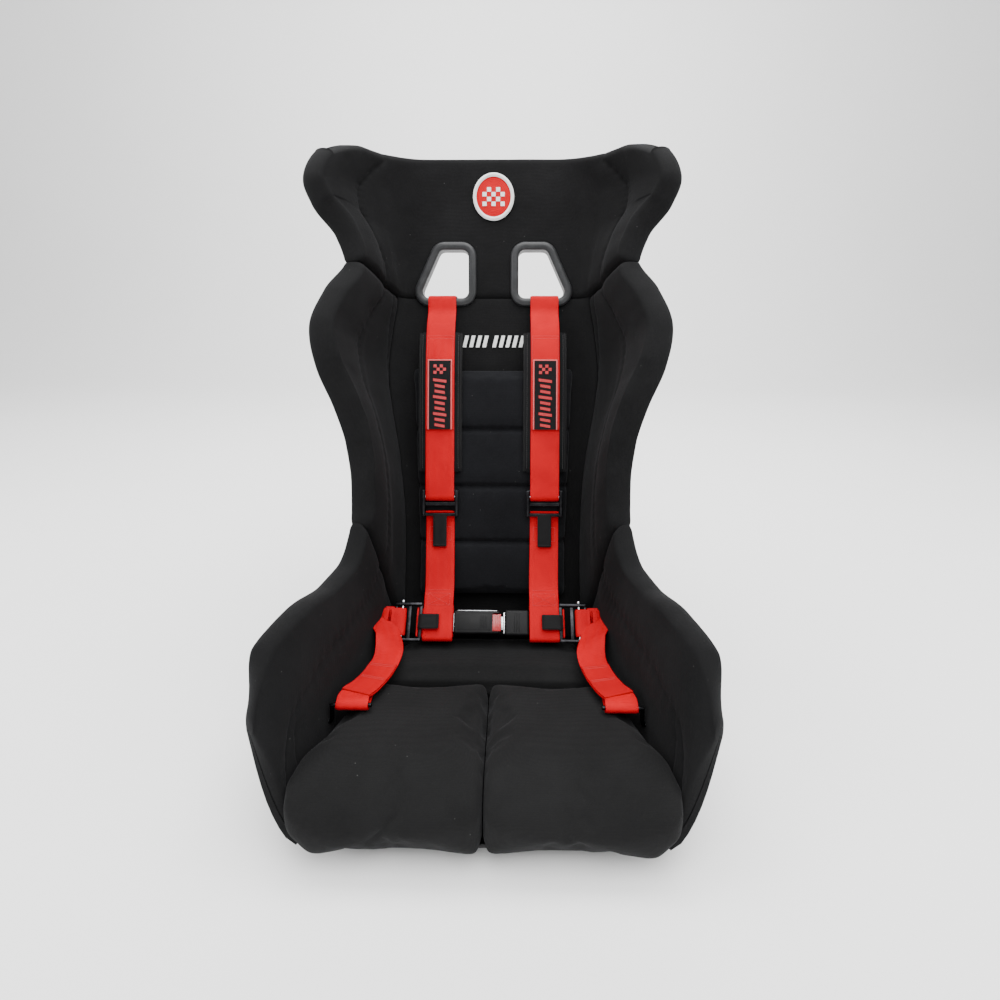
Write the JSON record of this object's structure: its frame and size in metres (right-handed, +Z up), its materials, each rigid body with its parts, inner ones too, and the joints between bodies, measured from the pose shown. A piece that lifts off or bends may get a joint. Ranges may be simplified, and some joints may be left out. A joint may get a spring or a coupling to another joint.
{
  "type": "racing seat",
  "caption": "Fixed-back racing bucket seat with head and hip wings, separate cushions and a four-strap harness with a push-button buckle.",
  "frame": {"origin": "on the flat underside of the shell, under the pan, midway between the sides", "axes": "+Z up, -Y the way the driver faces, X across the seat"},
  "size_m": [0.5862, 0.6045, 0.8979],
  "materials": {
    "seat_fabric": "matte charcoal woven seat cloth over foam",
    "fine_fabric": "fine blue-black cloth over foam",
    "shell": "black gel-coated glass fibre",
    "emblem": "embroidered red patch with a white rim",
    "slot_plastic": "satin dark grey moulded plastic",
    "red_webbing": "bright red polyester harness webbing",
    "black_webbing": "black harness webbing",
    "dark_steel": "black plated steel",
    "bright_steel": "bright plated steel",
    "black_plastic": "black moulded plastic",
    "red_plastic": "red moulded press button"
  },
  "bodies": {
    "seat": {"head_pad": "seat_fabric", "back_lining": "seat_fabric", "seat_cushion_rear": "seat_fabric", "hip_bolster_left": "seat_fabric", "hip_bolster_right": "seat_fabric", "shoulder_bolster_left": "seat_fabric", "shoulder_bolster_right": "seat_fabric", "thigh_pad_left": "seat_fabric", "thigh_pad_right": "seat_fabric", "back_cushion": "fine_fabric", "seat_shell": "shell", "emblem": "emblem", "slot_bezel_front_left": "slot_plastic", "slot_bezel_rear_left": "slot_plastic", "shoulder_strap_upper_left": "red_webbing", "shoulder_strap_lower_left": "red_webbing", "lap_strap_left": "red_webbing", "lap_anchor_left": "dark_steel", "mount_boss_front_left": "dark_steel", "mount_boss_rear_left": "dark_steel", "lap_anchor_nut_left": "bright_steel", "shoulder_anchor_left": "bright_steel", "slot_bezel_front_right": "slot_plastic", "slot_bezel_rear_right": "slot_plastic", "shoulder_strap_upper_right": "red_webbing", "shoulder_strap_lower_right": "red_webbing", "lap_strap_right": "red_webbing", "lap_anchor_right": "dark_steel", "mount_boss_front_right": "dark_steel", "mount_boss_rear_right": "dark_steel", "lap_anchor_nut_right": "bright_steel", "shoulder_anchor_right": "bright_steel", "buckle_web": "red_webbing", "buckle_housing": "black_plastic", "button_spring": "bright_steel"},
    "buckle_button": {"buckle_button": "red_plastic"},
    "buckle_latch": {"buckle_latch": "bright_steel"},
    "tongue": {"tongue_plate": "bright_steel", "tongue_cover": "black_plastic", "tongue_web": "red_webbing"},
    "lap_adjuster_left": {"lap_adjuster_frame_left": "dark_steel", "lap_adjuster_bar_left": "bright_steel", "lap_pull_tab_left": "black_webbing"},
    "shoulder_adjuster_left": {"shoulder_adjuster_frame_left": "dark_steel", "shoulder_adjuster_bar_left": "bright_steel", "shoulder_pull_tab_left": "black_webbing"},
    "shoulder_pad_left": {"shoulder_pad_left": "fine_fabric", "shoulder_pad_sleeve_left": "black_webbing"},
    "lap_adjuster_right": {"lap_adjuster_frame_right": "dark_steel", "lap_adjuster_bar_right": "bright_steel", "lap_pull_tab_right": "black_webbing"},
    "shoulder_adjuster_right": {"shoulder_adjuster_frame_right": "dark_steel", "shoulder_adjuster_bar_right": "bright_steel", "shoulder_pull_tab_right": "black_webbing"},
    "shoulder_pad_right": {"shoulder_pad_right": "fine_fabric", "shoulder_pad_sleeve_right": "black_webbing"}
  },
  "joints": [
    {"name": "button_press", "type": "slide", "parent": "seat", "child": "buckle_button", "axis": [-1, 0, 0], "range_m": [0, 0.004], "stiffness_N_per_m": 400, "springref_m": -0.002, "deforming": ["button_spring"]},
    {"name": "latch_slide", "type": "slide", "parent": "seat", "child": "buckle_latch", "axis": [-1, 0, 0], "range_m": [0, 0.002]},
    {"name": "tongue_pull", "type": "slide", "parent": "seat", "child": "tongue", "axis": [1, 0, 0], "range_m": [0, 0.012], "deforming": ["lap_strap_right", "shoulder_strap_lower_right"]},
    {"name": "shoulder_adjuster_tilt_left", "type": "hinge", "parent": "seat", "child": "shoulder_adjuster_left", "pos_m": [-0.092, 0.12455, 0.31486], "axis": [-1, 0, 0], "range_deg": [0, 25], "deforming": ["shoulder_strap_upper_left", "shoulder_strap_lower_left"]},
    {"name": "lap_adjuster_tilt_left", "type": "hinge", "parent": "seat", "child": "lap_adjuster_left", "pos_m": [-0.152, 0.03303, 0.12268], "axis": [0, -0.6691, -0.7431], "range_deg": [0, 25], "deforming": ["lap_strap_left", "buckle_web"]},
    {"name": "shoulder_pad_slide_left", "type": "slide", "parent": "seat", "child": "shoulder_pad_left", "axis": [0, 0.2316, 0.9728], "range_m": [-0.015, 0.015], "deforming": ["shoulder_pad_left", "shoulder_pad_sleeve_left", "shoulder_strap_upper_left"]},
    {"name": "shoulder_adjuster_tilt_right", "type": "hinge", "parent": "seat", "child": "shoulder_adjuster_right", "pos_m": [0.092, 0.12455, 0.31486], "axis": [-1, 0, 0], "range_deg": [0, 25], "deforming": ["shoulder_strap_upper_right", "shoulder_strap_lower_right"]},
    {"name": "lap_adjuster_tilt_right", "type": "hinge", "parent": "tongue", "child": "lap_adjuster_right", "pos_m": [0.15, 0.03303, 0.12268], "axis": [0, 0.6691, 0.7431], "range_deg": [0, 25], "deforming": ["lap_strap_right", "tongue_web"]},
    {"name": "shoulder_pad_slide_right", "type": "slide", "parent": "seat", "child": "shoulder_pad_right", "axis": [0, 0.2316, 0.9728], "range_m": [-0.015, 0.015], "deforming": ["shoulder_pad_right", "shoulder_pad_sleeve_right", "shoulder_strap_upper_right"]}
  ],
  "couplings": [
    {"joint": "latch_slide", "follows": "button_press", "ratio": 0.5}
  ]
}
